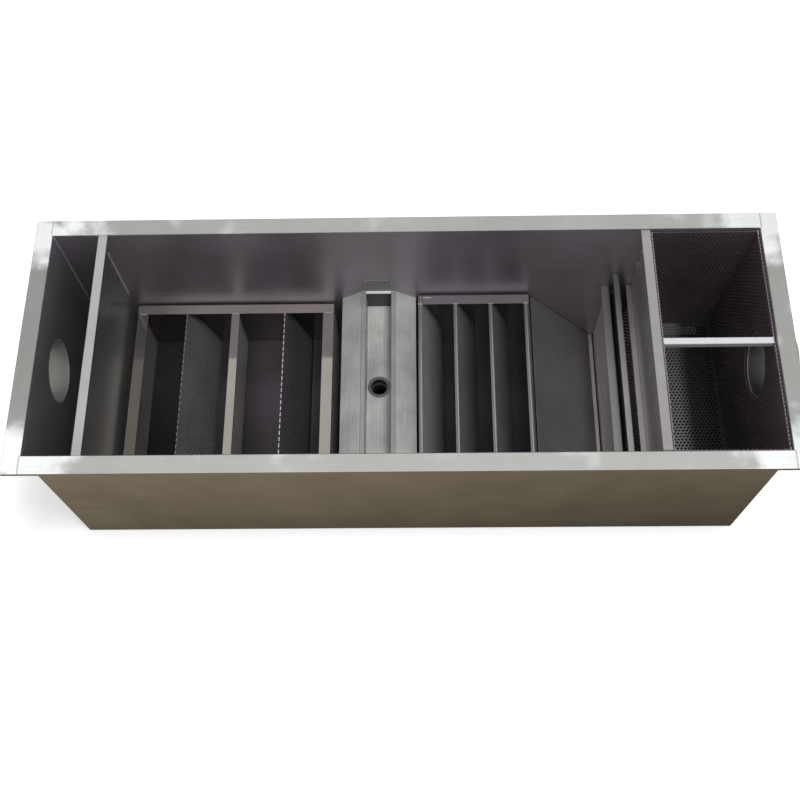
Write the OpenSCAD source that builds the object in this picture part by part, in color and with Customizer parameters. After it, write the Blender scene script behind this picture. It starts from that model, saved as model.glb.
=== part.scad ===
// Grease trap: an open stainless tank that parts kitchen grease from waste water.
// Water runs from the inlet end (+X) to the outlet end (-X). The rear wall is at +Y.
// X and Y are measured from the middle of the tank, Z from the underside of its floor.

/* [Tank] */
// Clear length inside the tank
tank_l = 1200; // [1160:5:1320]
// Clear width inside the tank
tank_w = 400; // [340:5:480]
// Height of the tank over its rim
tank_h = 400; // [396:1:460]
// Thickness of all sheet
sheet = 1.5; // [1:0.1:2]
// Inside radius of the tank's folds
bend_r = 2.5; // [1:0.25:3]
// Width of the rim from the inside edge
rim_w = 30; // [28:1:45]
// Height of the rim's down-turned lip
lip_h = 12; // [8:1:20]

/* [Pipe ports] */
// Outside diameter of the inlet and outlet pipes
pipe_od = 110; // [75:1:114]
// Wall of the inlet and outlet pipes
pipe_wall = 2; // [1.5:0.25:3]
// Reach of the pipes from the inside face of the end plates
pipe_reach = 55; // [40:1:80]
// Height of the pipes' axis
port_z = 280; // [260:1:300]

/* [Baffles] */
// Clear length of the outlet chamber
outlet_chamber_l = 77.5; // [70:0.5:84]
// Clear length of the inlet chamber
inlet_chamber_l = 184; // [165:1:195]
// Distance of the baffles' tops below the rim
baffle_drop = 3; // [1:0.5:4]
// Width of the baffles' folded tops
baffle_fold = 16; // [10:1:20]
// Opening below the outlet baffle and the hanging plate
baffle_gap = 60; // [40:1:80]
// Height of the inlet baffle's foot
foot_z = 209; // [195:1:225]
// Width of the inlet baffle's folded foot
foot_w = 11; // [8:0.5:14]
// Inside radius of the folds in everything but the tank
fold_r = 1; // [0.5:0.25:1.5]

/* [Weirs] */
// Height of the weir at the slope plate's foot
weir_z = 209; // [195:1:225]
// Height of the hanging plate's top
hanging_z = 251; // [240:1:270]
// Width of the weir's folded top
weir_fold = 15; // [10:1:18]
// Width of the hanging plate's folded top
hanging_fold = 10.5; // [8:0.5:13]
// Slot between the inlet baffle's foot and the hanging plate
foot_slot = 19; // [15:0.5:24]
// Slot between the hanging plate and the weir
weir_slot = 10; // [7:0.5:14]

/* [Slope plate] */
// Height of the slope plate's top edge
slope_z = 169; // [150:1:180]
// Height of the slope plate's foot
slope_foot_z = 12; // [8:1:25]
// Length of the slope plate in plan, over its lip
slope_l = 135; // [100:1:160]
// Width of the flat lip at its foot
slope_lip = 6; // [4:0.5:12]
// Slot between the lip and the weir
slope_slot = 4; // [3:0.5:15]
// Distance of the top edge from the plate pack
slope_gap = 6; // [3:0.5:12]

/* [Oil trough] */
// Distance of the trough from the filter box
trough_gap = 17.5; // [6:0.5:22]
// Width over both ramps
trough_w = 138; // [120:1:150]
// Height of the ridges
ridge_z = 194; // [180:1:205]
// Width of a ridge's flat top
ridge_w = 7; // [6:0.5:10]
// Drop of a ramp from the ridge to its outer edge
ramp_drop = 27; // [15:1:40]
// Clear width of the channel
channel_w = 46; // [46:1:60]
// Depth of the channel
channel_d = 59; // [45:1:65]
// Height of the brackets over the channel's ends
bracket_h = 42; // [25:1:60]
// Depth of the brackets' lips
bracket_lip = 6; // [4:1:25]

/* [Oil drain] */
// Outside diameter of the drain socket
socket_od = 43; // [38:0.5:43]
// Bore of the drain socket
socket_bore = 31; // [24:0.5:32]
// Length of the drain socket
socket_l = 30; // [22:1:34]
// Straight length of pipe below the socket
socket_tail = 3; // [2:0.5:10]
// Depth to which the pipe enters the socket
socket_seat = 12; // [8:1:16]
// Outside diameter of the drain pipe
drain_od = 33.7; // [33:0.1:35]
// Wall of the drain pipe
drain_wall = 3.2; // [2:0.1:4]
// Radius of the drain pipe's elbow
drain_bend = 40; // [30:1:45]
// Distance of the socket behind the middle of the tank
drain_y = 30; // [-40:1:60]
// Reach of the drain pipe behind the rear wall
drain_reach = 26; // [20:1:26]

/* [Filter box] */
// Distance of the box from the outlet baffle
filter_gap = 11; // [4:0.5:15]
// Height of the box's top
filter_z = 154; // [130:1:160]
// Width of the folded flanges along its sides
filter_flange = 20; // [15:1:30]
// Width of its outer cross rails
rail_w = 20; // [12:1:30]
// Width of its middle cross rail
mid_rail_w = 15; // [10:1:24]
// Run of the two sloping plates over their height
filter_run = 40; // [0:1:55]
// Side play of the filter box and the plate pack
side_gap = 3; // [3:0.25:6]

/* [Plate pack] */
// Distance of the first plate's fold from the trough
pack_gap = 4.5; // [1:0.5:6]
// Distance from one plate to the next
pack_pitch = 65.5; // [50:0.5:67]
// Height of the pack's top
pack_z = 183; // [160:1:190]
// Width of the plates' folded tops
pack_fold = 6.5; // [5:0.5:15]
// Run of a plate over its height
pack_run = 40; // [20:1:55]
// Height of a plate
pack_drop = 135; // [100:1:145]
// Width of the folded flanges along its sides
pack_flange = 20; // [15:1:30]
// Length of the side flanges beyond the last plate's fold
pack_end = 3; // [3:0.5:10]

/* [Strainer basket] */
// Play between the basket and the chamber's ends
basket_gap = 2; // [2:0.5:8]
// Play between the basket and the long walls
basket_play = 2; // [2:0.5:10]
// Distance of the basket's top below the rim
basket_drop = 8; // [4:1:20]
// Height of the basket's floor
basket_z = 55; // [45:1:120]
// Gap around the inlet pipe in the basket's end
inlet_room = 4; // [2:0.5:8]
// Width of the handle bar
handle_w = 12; // [8:0.5:20]
// Height of the handle bar
handle_h = 12; // [10:1:30]
// Distance of the handle bar in front of the middle
handle_y = 7; // [-20:1:20]
// Leg of the angles that carry the basket
ledge = 25; // [15:1:35]
// Length of the angles that carry the basket
ledge_l = 120; // [80:5:150]

/* [Perforation] */
// Distance between holes
hole_pitch = 31; // [30:1:40]
// Diameter of a hole
hole_d = 15; // [8:0.5:18]
// Bare edge around the holes
hole_edge = 8; // [5:0.5:15]

/* [Hidden] */
$fn = 64;

// Largest turn of one flat in a fold, in degrees
fold_step = 15;
// Reach of the large cutting shapes beyond what they cut
far = 50;
// Reach of the drills beyond what they cut
cut = 1;

half_l = tank_l / 2;
half_w = tank_w / 2;
floor_z = sheet;
baffle_z = tank_h - baffle_drop;
pipe_bore = pipe_od - 2 * pipe_wall;

// Places along X, from the inlet end to the filter box, which takes the length that is left
inlet_baffle_x = half_l - inlet_chamber_l;
hanging_x = inlet_baffle_x - foot_w - foot_slot;
weir_x = hanging_x - sheet - weir_slot;
slope_x1 = weir_x - sheet - slope_slot;
slope_x0 = slope_x1 - slope_l;
pack_x1 = slope_x0 - slope_gap;
pack_spaces = 3;
pack_x0 = pack_x1 - pack_end - pack_spaces * pack_pitch;
trough_x = pack_x0 - pack_fold - pack_gap - trough_w / 2;
filter_x1 = trough_x - trough_w / 2 - trough_gap;
outlet_baffle_x = -half_l + outlet_chamber_l;
filter_x0 = outlet_baffle_x + sheet + filter_gap;

// Oil drain
channel_z = ridge_z - channel_d;
socket_z = channel_z - socket_l;
elbow_z = socket_z - socket_tail;
drain_z = elbow_z - drain_bend;
drain_bore = drain_od - 2 * drain_wall;

// Lift-out parts
side_y = half_w - side_gap;
filter_y = side_y - filter_flange;
pack_y = side_y - pack_flange;
plate_y = side_y - sheet;
lean = pack_run / pack_drop;
pack_notch_z = pack_z - 2 * sheet - fold_r;
basket_x0 = inlet_baffle_x + basket_gap;
basket_x1 = half_l - basket_gap;
basket_y = half_w - basket_play;
basket_top = tank_h - basket_drop;

function unit(v) = v / norm(v);
function left_of(v) = [-v.y, v.x];
function reverse(list) = [for (i = [len(list) - 1 : -1 : 0]) list[i]];

// Arc of one fold at p1, on the face that lies `depth` to the right of the path
function fold_arc(p0, p1, p2, depth, r) =
  let (
    d1 = unit(p1 - p0),
    d2 = unit(p2 - p1),
    n1 = left_of(d1),
    n2 = left_of(d2),
    side = n1 * d2 > 0 ? 1 : -1,
    path_r = side > 0 ? r : r + sheet,
    face_r = path_r + side * depth,
    centre = p1 + side * path_r * (n1 + n2) / (1 + n1 * n2),
    sweep = side * acos(d1 * d2),
    steps = ceil(abs(sweep) / fold_step),
    start = atan2(-side * n1.y, -side * n1.x)
  )
  [for (i = [0 : steps]) centre + face_r * [cos(start + sweep * i / steps), sin(start + sweep * i / steps)]];

function face_points(path, depth, r) =
  let (last = len(path) - 1)
  concat(
    [path[0] - depth * left_of(unit(path[1] - path[0]))],
    [for (i = [1 : 1 : last - 1]) each fold_arc(path[i - 1], path[i], path[i + 1], depth, r)],
    [path[last] - depth * left_of(unit(path[last] - path[last - 1]))]
  );

// Section of a folded sheet: `path` is one face, and the sheet lies to the right of it
function folded(path, r) = concat(face_points(path, 0, r), reverse(face_points(path, sheet, r)));

// Section with one rounded top corner at (edge, top), from `back` to the edge
function lipped(back, edge, top, bottom, r) = concat(
  [[back, bottom], [edge, bottom]],
  [for (a = [0 : fold_step : 90]) [edge - r + r * cos(a), top - r + r * sin(a)]],
  [[back, top]]
);

// Draws an X-Z section along Y, about the middle
module along_y(width) {
  rotate([90, 0, 0]) linear_extrude(width, center = true) children();
}

// Draws a Y-Z section along X, from x0 to x1
module along_x(x0, x1) {
  translate([x0, 0, 0]) rotate([90, 0, 90]) linear_extrude(x1 - x0) children();
}

module folded_across(path, width) {
  along_y(width) polygon(folded(path, fold_r));
}

module box(x, y, z) {
  translate([x[0], y[0], z[0]]) cube([x[1] - x[0], y[1] - y[0], z[1] - z[0]]);
}

// Clears the rounded corners between the floor and the long walls
module floor_corners() {
  for (s = [-1, 1])
    along_x(-half_l - far, half_l + far)
      polygon([[s * half_w, floor_z], [s * (half_w - bend_r), floor_z], [s * half_w, floor_z + bend_r]]);
}

// Bored rod along +X
module tube(d, wall, length) {
  rotate([0, 90, 0]) difference() {
    cylinder(d = d, h = length);
    translate([0, 0, -cut]) cylinder(d = d - 2 * wall, h = length + 2 * cut);
  }
}

// Panel in the X-Z plane with rows of holes, bare within `clear` of the point `spot`
module perforated(w, h, corner = 0, spot = [0, 0], clear = 0) {
  columns = floor((w - 2 * hole_edge - hole_d) / hole_pitch) + 1;
  rows = floor((h - 2 * hole_edge - hole_d) / hole_pitch) + 1;
  first = [(w - (columns - 1) * hole_pitch) / 2, (h - (rows - 1) * hole_pitch) / 2];
  translate([0, sheet, 0]) rotate([90, 0, 0]) linear_extrude(sheet) difference() {
    polygon([[0, 0], [w, 0], [w, h - corner], [w - corner, h], [corner, h], [0, h - corner]]);
    for (i = [0 : columns - 1], j = [0 : rows - 1])
      let (p = first + hole_pitch * [i, j])
        if (norm(p - spot) > clear + hole_d / 2) translate(p) circle(d = hole_d);
  }
}

// Tank

module tank_body_sheet() {
  edge = half_w + rim_w;
  path = [
    [-edge, tank_h - lip_h], [-edge, tank_h], [-half_w, tank_h], [-half_w, floor_z],
    [half_w, floor_z], [half_w, tank_h], [edge, tank_h], [edge, tank_h - lip_h]
  ];
  color("silver") difference() {
    along_x(-half_l - sheet, half_l + sheet) polygon(folded(path, bend_r));
    translate([trough_x, half_w - cut, drain_z]) rotate([-90, 0, 0])
      cylinder(d = drain_bore, h = sheet + 2 * cut);
  }
}

// Filled rim at the +X end, drawn in by `inset` from its outer face
module rim_block(inset) {
  r = bend_r + sheet - inset;
  intersection() {
    along_y(tank_w + 2 * rim_w + far)
      polygon(lipped(half_l - far, half_l + rim_w - inset, tank_h - inset, tank_h - lip_h - inset, r));
    for (s = [0, 1]) mirror([0, s, 0]) along_x(half_l - far, half_l + rim_w + far)
      polygon(lipped(-far, half_w + rim_w - inset, tank_h - inset, tank_h - lip_h - inset, r));
  }
}

// End plate at +X: the wall stands inside the body sheet, its rim takes in both corners
module end_plate() {
  split = half_l + rim_w / 2;
  path = [[half_l, floor_z], [half_l, tank_h], [split, tank_h]];
  color("silver") difference() {
    union() {
      along_y(tank_w) polygon(folded(path, bend_r));
      difference() {
        rim_block(0);
        rim_block(sheet);
        box([half_l - 2 * far, split], [-half_w, half_w], [0, tank_h + cut]);
        box([half_l - 2 * far, half_l + sheet], [-half_w - far, half_w + far], [0, tank_h + cut]);
      }
    }
    floor_corners();
    translate([half_l - cut, 0, port_z]) rotate([0, 90, 0]) cylinder(d = pipe_bore, h = sheet + 2 * cut);
  }
}

module inlet_end_plate() { end_plate(); }

module outlet_end_plate() { mirror([1, 0, 0]) end_plate(); }

module inlet_pipe() {
  color("gainsboro") translate([half_l + sheet, 0, port_z]) tube(pipe_od, pipe_wall, pipe_reach - sheet);
}

module outlet_pipe() { mirror([1, 0, 0]) inlet_pipe(); }

// Baffles and weirs

// Plate with its back at x, folded towards -X at the top
module plate_folded_left(x, bottom, top, fold) {
  color("darkgray") folded_across([[x - fold, top], [x, top], [x, bottom]], tank_w);
}

module outlet_baffle() {
  x = outlet_baffle_x;
  path = [[x, floor_z + baffle_gap], [x, baffle_z], [x + baffle_fold, baffle_z]];
  color("darkgray") folded_across(path, tank_w);
}

module inlet_baffle() {
  x = inlet_baffle_x;
  path = [[x - baffle_fold, baffle_z], [x, baffle_z], [x, foot_z], [x - foot_w, foot_z]];
  color("darkgray") folded_across(path, tank_w);
}

module hanging_plate() { plate_folded_left(hanging_x, floor_z + baffle_gap, hanging_z, hanging_fold); }

module weir_plate() {
  difference() {
    plate_folded_left(weir_x, floor_z, weir_z, weir_fold);
    floor_corners();
  }
}

module slope_plate() {
  foot = slope_x1 - slope_lip;
  color("darkgray")
    folded_across([[slope_x0, slope_z], [foot, slope_foot_z], [slope_x1, slope_foot_z]], tank_w);
}

// Oil trough

module oil_trough() {
  inner = channel_w / 2;
  outer = inner + ridge_w;
  edge = trough_w / 2;
  path = [
    [-edge, ridge_z - ramp_drop], [-outer, ridge_z], [-inner, ridge_z], [-inner, channel_z],
    [inner, channel_z], [inner, ridge_z], [outer, ridge_z], [edge, ridge_z - ramp_drop]
  ];
  color("lightgray") difference() {
    translate([trough_x, 0, 0]) folded_across(path, tank_w);
    translate([trough_x, drain_y, channel_z - sheet - cut]) cylinder(d = socket_od, h = sheet + 2 * cut);
  }
}

module trough_bracket_rear() {
  lip_z = ridge_z + sheet;
  path = [[half_w - bracket_lip, lip_z], [half_w - sheet, lip_z], [half_w - sheet, ridge_z + bracket_h]];
  color("lightgray")
    along_x(trough_x - channel_w / 2, trough_x + channel_w / 2) polygon(folded(path, fold_r));
}

module trough_bracket_front() { mirror([0, 1, 0]) trough_bracket_rear(); }

module drain_socket() {
  color("gray") translate([trough_x, drain_y, socket_z]) difference() {
    cylinder(d = socket_od, h = socket_l);
    translate([0, 0, -cut]) cylinder(d = socket_bore, h = socket_l + 2 * cut);
    translate([0, 0, -cut]) cylinder(d = drain_od, h = socket_seat + cut);
  }
}

// Drain's route as a solid rod: down from the socket, round the elbow and on to the rear wall
module drain_rod(d, extra) {
  top = socket_z + socket_seat;
  translate([trough_x, drain_y, elbow_z]) cylinder(d = d, h = top - elbow_z + extra);
  translate([trough_x, drain_y + drain_bend, elbow_z]) rotate([90, 0, 90]) rotate([0, 0, 180])
    rotate_extrude(angle = 90) translate([drain_bend, 0]) circle(d = d);
  translate([trough_x, drain_y + drain_bend, drain_z]) rotate([-90, 0, 0])
    cylinder(d = d, h = half_w - drain_y - drain_bend + extra);
}

module drain_pipe() {
  color("gray") difference() {
    drain_rod(drain_od, 0);
    drain_rod(drain_bore, cut);
  }
}

module drain_spigot() {
  color("gray") translate([trough_x, half_w + sheet, drain_z]) rotate([0, 0, 90])
    tube(drain_od, drain_wall, drain_reach);
}

// Filter box

module filter_side_rear() {
  path = [[filter_y, filter_z], [side_y, filter_z], [side_y, floor_z]];
  color("darkgray") along_x(filter_x0, filter_x1) polygon(folded(path, fold_r));
}

module filter_side_front() { mirror([0, 1, 0]) filter_side_rear(); }

module filter_rail(x, w) {
  color("gainsboro") box([x, x + w], [-filter_y, filter_y], [filter_z - sheet, filter_z]);
}

module filter_rail_left() { filter_rail(filter_x0, rail_w); }

module filter_rail_mid() { filter_rail((filter_x0 + filter_x1 - mid_rail_w) / 2, mid_rail_w); }

module filter_rail_right() { filter_rail(filter_x1 - rail_w, rail_w); }

// Perforated plate across the box, with its lower left edge at x, leaning left by `run` over its height
module filter_plate(x, run) {
  rise = filter_z - sheet - floor_z;
  angle = atan(run / rise);
  height = (rise - sheet * sin(angle)) / cos(angle);
  color("slategray") translate([x, 0, floor_z]) rotate([0, -angle, 0])
    translate([0, plate_y, 0]) rotate([0, 0, -90]) perforated(2 * plate_y, height, fold_r);
}

filter_mid = (filter_x0 + filter_x1 - sheet) / 2;
filter_quarter = (filter_x1 - filter_x0) / 4;

module filter_plate_1() { filter_plate(filter_x0, 0); }

module filter_plate_2() { filter_plate(filter_mid - filter_quarter + filter_run, filter_run); }

module filter_plate_3() { filter_plate(filter_mid, 0); }

module filter_plate_4() { filter_plate(filter_mid + filter_quarter + filter_run, filter_run); }

module filter_plate_5() { filter_plate(filter_x1 - sheet, 0); }

// Plate pack

module pack_side_rear() {
  path = [[pack_y, pack_z], [side_y, pack_z], [side_y, floor_z]];
  start = pack_x0 - 2 * sheet;
  shift = lean * (pack_z - floor_z);
  color("darkgray") difference() {
    intersection() {
      along_x(start, pack_x1 + shift) polygon(folded(path, fold_r));
      along_y(tank_w)
        polygon([[start, pack_z], [pack_x1, pack_z], [pack_x1 + shift, floor_z], [start + shift, floor_z]]);
    }
    box([start - cut, pack_x0 + sheet], [0, half_w], [pack_notch_z, pack_z + cut]);
  }
}

module pack_side_front() { mirror([0, 1, 0]) pack_side_rear(); }

// Leaning plate number i: past the first, its fold stops short of the side flanges
module pack_plate(i) {
  x = pack_x0 + i * pack_pitch;
  path = [[x - pack_fold, pack_z], [x, pack_z], [x + pack_run, pack_z - pack_drop]];
  color("darkgray") difference() {
    folded_across(path, 2 * plate_y);
    if (i > 0) for (s = [0, 1]) mirror([0, s, 0])
      box([x - far, x + far], [pack_y, half_w], [pack_notch_z, pack_z + cut]);
  }
}

module pack_plate_1() { pack_plate(0); }

module pack_plate_2() { pack_plate(1); }

module pack_plate_3() { pack_plate(2); }

module pack_plate_4() { pack_plate(3); }

// Strainer basket

basket_h = basket_top - basket_z;
basket_inner_l = basket_x1 - basket_x0 - 2 * sheet;

module basket_panel_across(x, spot = [0, 0], clear = 0) {
  color("dimgray") translate([x, basket_y, basket_z]) rotate([0, 0, -90]) difference() {
    perforated(2 * basket_y, basket_h, 0, spot, clear);
    if (clear > 0) translate([spot.x, -cut, spot.y]) rotate([-90, 0, 0])
      cylinder(r = clear, h = sheet + 2 * cut);
  }
}

module basket_left() { basket_panel_across(basket_x0); }

module basket_right() {
  basket_panel_across(basket_x1 - sheet, [basket_y, port_z - basket_z], pipe_od / 2 + inlet_room);
}

module basket_panel_along(y) {
  color("dimgray") translate([basket_x0 + sheet, y, basket_z]) perforated(basket_inner_l, basket_h);
}

module basket_rear() { basket_panel_along(basket_y - sheet); }

module basket_front() { basket_panel_along(-basket_y); }

module basket_floor() {
  depth = 2 * (basket_y - sheet);
  color("dimgray") translate([basket_x0 + sheet, -depth / 2, basket_z + sheet]) rotate([-90, 0, 0])
    perforated(basket_inner_l, depth);
}

module basket_handle() {
  front = -handle_y - handle_w / 2;
  rear = -handle_y + handle_w / 2;
  top = basket_top - sheet;
  path = [[front, top - handle_h], [front, top], [rear, top], [rear, top - handle_h]];
  color("whitesmoke") along_x(basket_x0 + sheet, basket_x1 - sheet) polygon(folded(path, fold_r));
}

module basket_ledge_rear() {
  x = (basket_x0 + basket_x1 - ledge_l) / 2;
  path = [[half_w - ledge, basket_z], [half_w, basket_z], [half_w, basket_z - ledge]];
  color("gray") along_x(x, x + ledge_l) polygon(folded(path, fold_r));
}

module basket_ledge_front() { mirror([0, 1, 0]) basket_ledge_rear(); }

tank_body_sheet();
outlet_end_plate();
inlet_end_plate();
outlet_pipe();
inlet_pipe();
outlet_baffle();
inlet_baffle();
hanging_plate();
weir_plate();
slope_plate();
oil_trough();
trough_bracket_rear();
trough_bracket_front();
drain_socket();
drain_pipe();
drain_spigot();
filter_side_rear();
filter_side_front();
filter_rail_left();
filter_rail_mid();
filter_rail_right();
filter_plate_1();
filter_plate_2();
filter_plate_3();
filter_plate_4();
filter_plate_5();
pack_side_rear();
pack_side_front();
pack_plate_1();
pack_plate_2();
pack_plate_3();
pack_plate_4();
basket_front();
basket_rear();
basket_left();
basket_right();
basket_floor();
basket_handle();
basket_ledge_rear();
basket_ledge_front();
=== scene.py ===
"""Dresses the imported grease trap: fine perforation, weld beads, stainless finishes and a plain studio."""
import math

import bmesh
import bpy
from bpy.props import FloatProperty, FloatVectorProperty, PointerProperty
from mathutils import Matrix, Vector


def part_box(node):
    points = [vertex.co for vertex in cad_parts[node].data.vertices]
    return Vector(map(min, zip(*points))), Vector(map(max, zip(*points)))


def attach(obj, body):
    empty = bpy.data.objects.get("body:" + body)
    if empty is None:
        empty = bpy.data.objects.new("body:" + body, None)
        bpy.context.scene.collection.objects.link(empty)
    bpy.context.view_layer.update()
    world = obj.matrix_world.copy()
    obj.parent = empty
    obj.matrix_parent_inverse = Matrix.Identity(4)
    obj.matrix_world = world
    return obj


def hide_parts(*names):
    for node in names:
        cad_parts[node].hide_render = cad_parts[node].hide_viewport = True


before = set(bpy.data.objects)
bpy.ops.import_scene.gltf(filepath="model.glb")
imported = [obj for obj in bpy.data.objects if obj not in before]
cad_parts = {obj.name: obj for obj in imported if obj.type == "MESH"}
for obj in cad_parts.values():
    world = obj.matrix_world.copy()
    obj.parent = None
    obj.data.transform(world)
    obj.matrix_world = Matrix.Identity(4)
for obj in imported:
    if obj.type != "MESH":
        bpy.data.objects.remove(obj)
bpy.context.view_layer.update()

bl_info = {
    "name": "Grease trap dressing",
    "version": (1, 0, 0),
    "blender": (4, 5, 0),
    "location": "View3D > Sidebar > Grease trap",
    "description": "Perforated plates, weld beads, stainless finishes and studio for a grease trap",
    "category": "Object",
}

BODY = "root"
RAILS = ("filter_rail_left", "filter_rail_mid", "filter_rail_right")

# The tank's own places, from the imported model, and the heights of its bends. All lengths are in metres.
RIM_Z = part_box("tank_body_sheet")[1].z
INSIDE_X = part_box("inlet_end_plate")[0].x
INSIDE_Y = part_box("outlet_baffle")[1].y
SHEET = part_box("filter_rail_mid")[1].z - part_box("filter_rail_mid")[0].z
RIM_BEND = 0.004
FLOOR_BEND = 0.0045

# Brushing: noise scales along and across a streak, the heights it bumps, and how far noise is spread.
STREAK_ALONG = 6.0
STREAK_ACROSS = 700.0
STREAK_HEIGHT = 0.00003
WAVE_HEIGHT = 0.01
TANK_WAVE = 0.0012
BUMP_STRENGTH = 0.4
NOISE_GAIN = 3.0

# Rim: where the polish of the corners and the painted highlights (glint spots) fade, the painted shade
# towards the rear left, and the seams beside the corners.
END_RIM_LEVEL = 0.79
POLISH_ALONG = (0.04, 0.095)
POLISH_ACROSS = (0.02, 0.065)
POLISH_WANDER = 0.14
PAINTED_GLINT_FADE = (0.58, 0.72)
PAINTED_GLINT_SHARE = 0.25
RIM_PAINTED_SHADE = 0.14
RIM_PAINTED_SHADE_END = -0.1
SEAM_FADE = (0.0004, 0.0016)
SEAM_START = 0.002
SEAM_TONE = 0.55
SEAM_SHARE = 0.6

# Walls and floor: painted light on the floor between the third and fourth filter plates, the floor's tone
# rising towards the rear, painted shade on the wall at the trough and under its rear bracket, and the
# front wall's painted shade, darker down and to the right.
BAY_EDGE = 0.01
BAY_PAINTED_LIGHT = 0.7
FLOOR_FRONT = 0.55
FLOOR_RISE = 1.6
FLOOR_FADE = (-0.05, 0.21)
POCKET_PAINTED_SHADE = 0.55
TROUGH_PAINTED_SHADE = 0.2
TROUGH_FADE = 0.07
FRONT_LEVEL = 1.17
FRONT_PAINTED_SHADE_DOWN = 0.26
FRONT_PAINTED_SHADE_RIGHT = 0.36

# Tank steel: its tone in front, the painted shade towards the rear, streaks, smudges, roughness and share
# of metal.
TANK_LEVEL = 1.07
TANK_PAINTED_REAR_SHADE = 0.14
TANK_STREAK = 0.3
TANK_SMUDGE = 0.4
TANK_ROUGH = 0.40
ROUGH_SMUDGE = 0.24
ROUGH_STREAK = 0.1
RIM_GLOSS = 0.08
POLISH_GLOSS = 0.14
TANK_METALLIC = 0.9

# Places of marks: joints with the long walls, the weir's face (painted light, brighter downwards), the
# trough's ramps, the pack's folds (painted highlight on the bend) and lower plates (painted shade), and the
# painted shadow on the right end of the basket's floor.
JOINT_WIDTH = 0.004
JOINT_DARK = 0.65
WEIR_FOOT = 0.01
WEIR_TOP = 0.02
RAMP_FOOT = 0.02
PACK_FOLD = 0.004
PACK_DEPTH = 0.12
PAINTED_SHADOW_START = 0.095
PAINTED_SHADOW_END = 0.125

# Grain of each steel: roughness, the axis of its streaks, and what differs from the usual grain.
PIPE_GRAIN = {"rough": 0.34, "along": "x"}
DRAIN_GRAIN = {"rough": 0.34, "along": "z"}
OUTLET_GRAIN = {"rough": 0.30, "along": "y"}
INLET_GRAIN = {"rough": 0.34, "along": "y", "metallic": 0.6}
WEIR_GRAIN = {"rough": 0.40, "along": "y", "metallic": 0.05}
SLOPE_GRAIN = {"rough": 0.40, "along": "y", "smudge": 0.26}
TROUGH_GRAIN = {"rough": 0.42, "along": "y", "streak": 0.24, "smudge": 0.55, "metallic": 0.05}
BRACKET_GRAIN = {"rough": 0.42, "along": "x", "streak": 0.16, "smudge": 0.30, "metallic": 0.05}
RAIL_GRAIN = {"rough": 0.07, "along": "y", "streak": 0.08, "smudge": 0.12, "wave": 0.02, "metallic": 0.95}
SIDE_GRAIN = {"rough": 0.20, "along": "x", "streak": 0.08, "smudge": 0.14, "wave": 0.08, "metallic": 0.8}
SIEVE_GRAIN = {"rough": 0.40, "along": "y", "smudge": 0.30, "metallic": 0.6}
PACK_GRAIN = {"rough": 0.34, "along": "y"}
HANDLE_GRAIN = {"rough": 0.28, "along": "x", "streak": 0.05, "smudge": 0.08, "wave": 0.03, "metallic": 0.4}
LEDGE_GRAIN = {"rough": 0.32, "along": "x"}
WELD_GRAIN = {"rough": 0.30, "along": "z", "smudge": 0.25}

# How bright a piece is beside the colour of its group. Some stand for light or shade: the darker fourth
# filter plate is painted shade, the lighter pack plates and most of all the first are painted light, the
# trough bracket's bright lip is a painted highlight, and the filter sides' darkness under the rails is
# painted shade.
TONE = {
    "weir_plate": 0.735,
    "slope_plate": 1.36,
    "trough_bracket": 1.6,
    "drain": 0.5,
    "filter_side": 0.4,
    "shade_painted_plate": 0.40,
    "first_pack_plate": 2.2,
    "pack_plate": 1.35,
    "pack_side": 0.65,
    "basket_floor": 0.9,
}

# Cut edges of the perforated sheets, brightened as a painted highlight: the number of the plate painted
# darker as shade, how far down the highlight reaches, and how much.
SHADE_PAINTED_PLATE = 4
PLATE_CUT = 0.0008
BASKET_CUT = 0.001
PLATE_CUT_PAINTED_HIGHLIGHT = 0.65
SHADE_PAINTED_CUT_HIGHLIGHT = 1.0 / 0.36
LEFT_CUT_PAINTED_HIGHLIGHT = 0.42

# Perforation. The step of the rows, the room between a pipe and the holes and the reach of the ring round
# the pipe are in pitches.
ROW_STEP = math.sqrt(0.75)
PIPE_MARGIN = 0.62
RING_REACH = 3.0
PIPE_CLEARANCE = 0.004
TRIM_MARGIN = 0.0002
TRIM_DISTANCE = 0.000001
MERGE_DISTANCE = 0.00001

# Weld beads: how far they sink in, the spread of their width, and the places and lengths of tacks.
WELD_SEED = 11
WELD_SINK = 0.0007
BEAD_SPREAD = (0.85, 1.15)
RIPPLE_LENGTH = 0.85
CORNER_MARGIN = 0.012
LONG_TACK = 0.008
SHORT_TACK = 0.005
FLANGE_TACK = 0.012
FLANGE_LAP = 0.001
BRACKET_DROP = 0.006
RIDGE_STEP = 0.004
OUTLET_BEAD = (0.338, 0.198)
ALONG_X = (1, 0, 0)
ALONG_Y = (0, 1, 0)
ALONG_Z = (0, 0, 1)
# Plate, height of its first tack, step to the next, how many, and the length of each.
TACK_ROWS = (
    ("weir_plate", 0.022, 0.022, 7, 0.006),
    ("inlet_baffle", 0.23, 0.05, 4, 0.012),
    ("hanging_plate", 0.225, -0.05, 3, 0.010),
)

# Stage: floor, surroundings, lamp, and camera with its angles in degrees and its lens in millimetres.
FLOOR_WHITE = (0.86, 0.86, 0.86, 1.0)
FLOOR_GLOW = 0.42
FLOOR_REACH = 30.0
FLOOR_DROP = 0.0005
SKY_LIGHT = 0.45
SKY_SEEN = 0.55
LAMP_PLACE = (0.7, -0.5, 4.5)
LAMP_AIM = (0.0, 0.0, 0.3)
LAMP_SIZE = 1.2
LAMP_POWER = 130.0
CAMERA_PLACE = (0.0270, -0.8024, 1.9898)
CAMERA_PITCH = 66.49
CAMERA_YAW = -2.84
CAMERA_ROLL = 3.10
LENS = 49.35
SENSOR = 36.0
NEAR_CLIP = 0.05


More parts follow.
